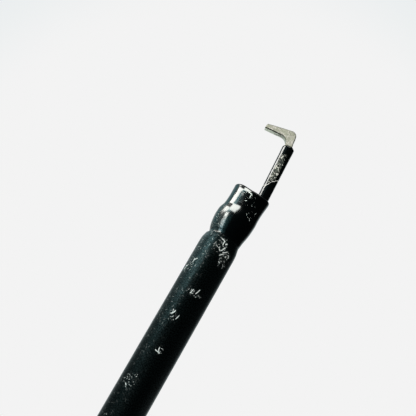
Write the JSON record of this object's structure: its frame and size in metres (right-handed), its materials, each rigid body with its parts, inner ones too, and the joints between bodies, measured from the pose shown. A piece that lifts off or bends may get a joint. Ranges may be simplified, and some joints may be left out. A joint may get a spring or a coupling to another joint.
{
  "type": "hooked scratch awl",
  "caption": "Slim black-sleeved tubular handle with an off-centre sleeved shank and a bare, square-bent steel hook tip.",
  "frame": {"origin": "centre of the flat butt face", "axes": "+Z along the handle from the butt to the tip; the shank stands on the +X side and the hook's arm points to -X"},
  "size_m": [0.011, 0.0104, 0.1309],
  "materials": {
    "bare_steel": "satin, slightly warm, tarnished in the bend",
    "glossy_sleeve": "glossy black shrink sleeve, worn on the shank",
    "satin_sleeve": "satin black shrink sleeve with pale scuffs",
    "inner_steel": "machined, unseen in use",
    "plug_plastic": "moulded matt black"
  },
  "bodies": {
    "root": {"hook_bar": "bare_steel", "shank_sleeve": "glossy_sleeve", "nose_sleeve": "glossy_sleeve", "grip_sleeve": "satin_sleeve", "nose_holder": "inner_steel", "collar": "inner_steel", "handle_tube": "inner_steel", "tang_pin": "inner_steel", "holder_pin": "inner_steel", "end_plug": "plug_plastic"}
  },
  "joints": []
}
